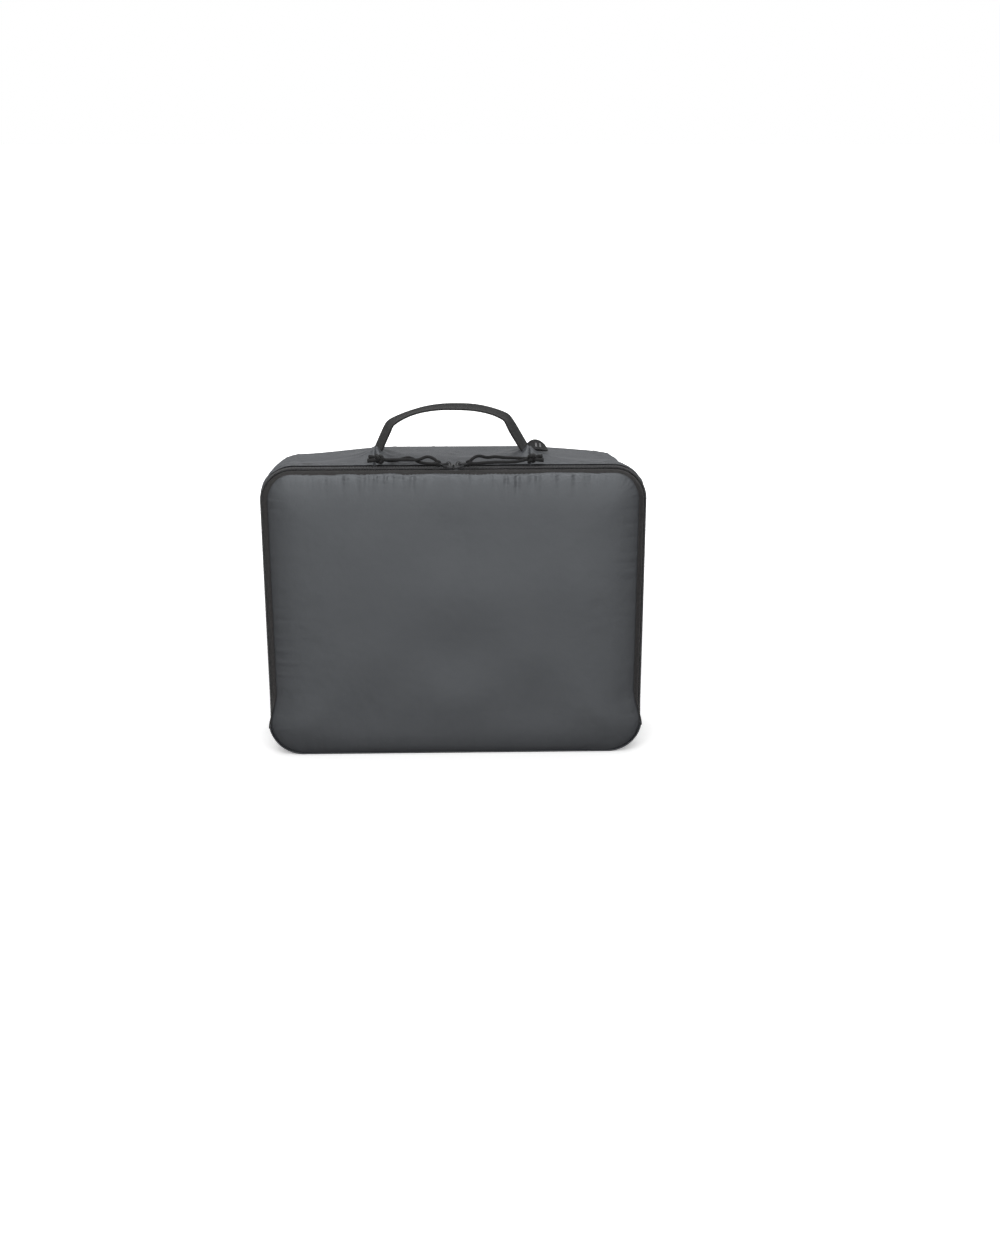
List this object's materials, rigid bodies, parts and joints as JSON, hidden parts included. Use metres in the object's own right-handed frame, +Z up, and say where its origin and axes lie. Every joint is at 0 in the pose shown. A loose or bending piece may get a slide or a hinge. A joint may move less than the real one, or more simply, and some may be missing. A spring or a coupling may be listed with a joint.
{
  "type": "packing cube",
  "caption": "Soft rectangular packing cube with rounded corners, a zip round three sides, a fold-down front panel and a webbing carry handle.",
  "frame": {"origin": "middle of the base, on the surface the bag stands on", "axes": "+X across the width, +Y from the unzipping front panel to the back, +Z up towards the handle"},
  "size_m": [0.35, 0.096, 0.3202],
  "materials": {
    "shell_fabric": "smooth coated nylon with a soft satin sheen",
    "zip_tape": "matt knitted tape",
    "zip_coil": "semi-gloss nylon monofilament",
    "binding": "matt woven binding tape",
    "webbing": "ribbed woven webbing",
    "label_satin": "glossy woven satin",
    "slider_metal": "gunmetal with worn bright edges",
    "cord": "braided cord"
  },
  "bodies": {
    "bag": {"back_panel": "shell_fabric", "top_gusset": "shell_fabric", "left_gusset": "shell_fabric", "right_gusset": "shell_fabric", "bottom_gusset": "shell_fabric", "front_panel_foot": "shell_fabric", "body_zip_tape": "zip_tape", "body_zip_coil": "zip_coil", "back_seam_binding": "binding", "gusset_seam_binding": "binding", "left_cross_seam_binding": "binding", "right_cross_seam_binding": "binding", "label": "label_satin", "left_handle_leg": "webbing", "right_handle_leg": "webbing"},
    "handle": {"handle_grip": "webbing"},
    "lid": {"front_panel": "shell_fabric", "lid_zip_tape": "zip_tape", "lid_zip_coil": "zip_coil", "lid_seam_binding": "binding"},
    "left_slider": {"left_slider_body": "slider_metal", "left_slider_bridge": "slider_metal", "left_cord_a": "cord", "left_cord_b": "cord", "left_knot": "cord", "left_cord_tails": "cord"},
    "right_slider": {"right_slider_body": "slider_metal", "right_slider_bridge": "slider_metal", "right_cord_a": "cord", "right_cord_b": "cord", "right_knot": "cord", "right_cord_tails": "cord"},
    "left_pull": {"left_pull_tab": "slider_metal"},
    "right_pull": {"right_pull_tab": "slider_metal"}
  },
  "joints": [
    {"name": "lid_fold", "type": "hinge", "parent": "bag", "child": "lid", "pos_m": [0, -0.041, 0.02815], "axis": [1, 0, 0], "range_deg": [0, 95]},
    {"name": "handle_swing", "type": "hinge", "parent": "bag", "child": "handle", "pos_m": [-0.0008, 0.005, 0.286], "axis": [1, 0, 0], "range_deg": [-75, 50], "deforming": ["left_handle_leg", "right_handle_leg"]},
    {"name": "left_slide", "type": "slide", "parent": "bag", "child": "left_slider", "axis": [-1, 0, 0], "range_m": [0, 0.11]},
    {"name": "right_slide", "type": "slide", "parent": "bag", "child": "right_slider", "axis": [1, 0, 0], "range_m": [0, 0.11]},
    {"name": "left_pull_turn", "type": "hinge", "parent": "left_slider", "child": "left_pull", "pos_m": [-0.0044, -0.033, 0.2761], "axis": [0, 1, 0], "range_deg": [0, 100], "deforming": ["left_cord_a", "left_cord_b"]},
    {"name": "right_pull_turn", "type": "hinge", "parent": "right_slider", "child": "right_pull", "pos_m": [0.0044, -0.033, 0.2761], "axis": [0, -1, 0], "range_deg": [0, 100], "deforming": ["right_cord_a", "right_cord_b"]}
  ]
}
